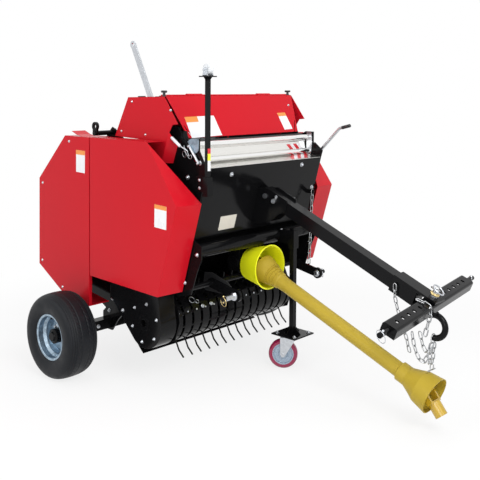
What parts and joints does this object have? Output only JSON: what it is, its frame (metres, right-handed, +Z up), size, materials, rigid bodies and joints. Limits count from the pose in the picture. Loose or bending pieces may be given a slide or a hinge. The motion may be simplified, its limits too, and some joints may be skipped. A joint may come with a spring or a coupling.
{
  "type": "round baler",
  "caption": "Compact trailed round baler with red side covers, black chassis, tined pickup, net box on top, square drawbar and guarded drive shaft, parked on its caster leg.",
  "frame": {"origin": "on the ground under the middle of the machine's box", "axes": "+X forward to the hitch, +Y to the machine's left, +Z up"},
  "size_m": [2.0749, 1.579, 1.618],
  "materials": {
    "black_paint": "gloss",
    "red_paint": "gloss",
    "tyre": "matte",
    "zinc": "satin",
    "chrome": "polished",
    "stainless": "brushed",
    "black_plastic": "matte",
    "lemon_plastic": "satin",
    "ochre_plastic": "satin",
    "yellow_paint": "gloss",
    "caster_tyre": "gloss",
    "white_nylon": "satin",
    "roller_steel": "gloss"
  },
  "bodies": {
    "chassis": {"side_plate_right": "black_paint", "side_plate_left": "black_paint", "axle": "black_paint", "axle_arms": "black_paint", "gate_shaft": "black_paint", "chamber_rollers": "roller_steel", "front_panel": "black_paint", "front_beam": "black_paint", "gearbox": "black_paint", "input_guard": "lemon_plastic", "cross_tube": "black_paint", "drawbar_head": "black_paint", "drawbar_pin": "zinc", "drawbar": "black_paint", "hitch_sleeve": "black_paint", "hitch_pin": "zinc", "hitch_hook": "black_paint", "net_end_right": "red_paint", "net_end_left": "red_paint", "net_cover": "red_paint", "net_tray": "stainless", "net_brush": "black_plastic", "pickup_side_right": "black_paint", "pickup_side_left": "black_paint", "pickup_case": "black_paint", "pickup_bands": "black_paint", "stand_socket": "black_paint", "spare_socket": "black_paint", "tension_lever": "zinc", "crank": "black_paint", "link_arms": "black_paint", "crop_guard": "black_plastic", "chains": "zinc"},
    "wheel_right": {"tyre_right": "tyre", "rim_right": "zinc", "hub_right": "black_paint"},
    "wheel_left": {"tyre_left": "tyre", "rim_left": "zinc", "hub_left": "black_paint"},
    "tailgate": {"gate_plate_right": "black_paint", "gate_plate_left": "black_paint", "gate_cover_right": "red_paint", "gate_cover_left": "red_paint", "gate_rollers": "roller_steel", "gate_bars": "black_paint"},
    "right_door": {"door_right": "red_paint"},
    "left_door": {"door_left": "red_paint"},
    "lid": {"net_lid": "red_paint"},
    "upper_roller": {"net_roller_upper": "chrome"},
    "lower_roller": {"net_roller_lower": "chrome"},
    "reel": {"pickup_reel": "black_paint"},
    "leg": {"stand_leg": "black_paint"},
    "caster_swivel": {"caster_fork": "zinc"},
    "caster": {"caster_wheel": "caster_tyre"},
    "stowed_leg": {"spare_leg": "black_paint"},
    "stowed_wheel": {"spare_wheel": "white_nylon"},
    "crossbar": {"hitch_bar": "black_paint"},
    "drive_shaft": {"shaft_shield": "ochre_plastic", "shaft_drive": "yellow_paint"},
    "end_yoke": {"shaft_yoke": "yellow_paint"}
  },
  "joints": [
    {"name": "wheel_right_spin", "type": "hinge", "parent": "chassis", "child": "wheel_right", "pos_m": [-0.62246, -0.707, 0.203], "axis": [0, 1, 0], "continuous": true},
    {"name": "wheel_left_spin", "type": "hinge", "parent": "chassis", "child": "wheel_left", "pos_m": [-0.62246, 0.707, 0.203], "axis": [0, 1, 0], "continuous": true},
    {"name": "tailgate_lift", "type": "hinge", "parent": "chassis", "child": "tailgate", "pos_m": [-0.60246, 0, 1.166], "axis": [0, 1, 0], "range_deg": [0, 50]},
    {"name": "right_door_swing", "type": "hinge", "parent": "chassis", "child": "right_door", "pos_m": [-0.56746, -0.554, 0.8], "axis": [0, 0, -1], "range_deg": [0, 90]},
    {"name": "left_door_swing", "type": "hinge", "parent": "chassis", "child": "left_door", "pos_m": [-0.56746, 0.554, 0.8], "axis": [0, 0, 1], "range_deg": [0, 90]},
    {"name": "lid_lift", "type": "hinge", "parent": "chassis", "child": "lid", "pos_m": [-0.18246, 0, 1.356], "axis": [0, -1, 0], "range_deg": [0, 100]},
    {"name": "upper_roller_spin", "type": "hinge", "parent": "chassis", "child": "upper_roller", "pos_m": [0.00354, 0, 1.138], "axis": [0, 1, 0], "continuous": true},
    {"name": "lower_roller_spin", "type": "hinge", "parent": "chassis", "child": "lower_roller", "pos_m": [0.00354, 0, 1.067], "axis": [0, 1, 0], "continuous": true},
    {"name": "reel_spin", "type": "hinge", "parent": "chassis", "child": "reel", "pos_m": [-0.22746, 0, 0.3], "axis": [0, 1, 0], "continuous": true},
    {"name": "leg_slide", "type": "slide", "parent": "chassis", "child": "leg", "axis": [0, 0, 1], "range_m": [0, 0.22]},
    {"name": "caster_turn", "type": "hinge", "parent": "leg", "child": "caster_swivel", "pos_m": [0.11254, 0.15, 0.17], "axis": [0, 0, 1], "continuous": true},
    {"name": "caster_spin", "type": "hinge", "parent": "caster_swivel", "child": "caster", "pos_m": [0.07549, 0.12308, 0.072], "axis": [0.5878, -0.809, 0], "continuous": true},
    {"name": "stowed_leg_slide", "type": "slide", "parent": "chassis", "child": "stowed_leg", "axis": [0, 0, 1], "range_m": [0, 0.08]},
    {"name": "stowed_wheel_spin", "type": "hinge", "parent": "stowed_leg", "child": "stowed_wheel", "pos_m": [0.09954, -0.4336, 1.475], "axis": [0, 1, 0], "continuous": true},
    {"name": "crossbar_turn", "type": "hinge", "parent": "chassis", "child": "crossbar", "pos_m": [0.95692, 0, 0.51689], "axis": [0.3851, 0, 0.9229], "range_deg": [-31, 19]},
    {"name": "shaft_swing", "type": "hinge", "parent": "chassis", "child": "drive_shaft", "pos_m": [0.01754, 0, 0.527], "axis": [0.3697, 0, 0.9291], "range_deg": [-18, 18]},
    {"name": "yoke_swing", "type": "hinge", "parent": "drive_shaft", "child": "end_yoke", "pos_m": [0.94668, 0, 0.15725], "axis": [0, -1, 0], "range_deg": [0, 40]}
  ]
}
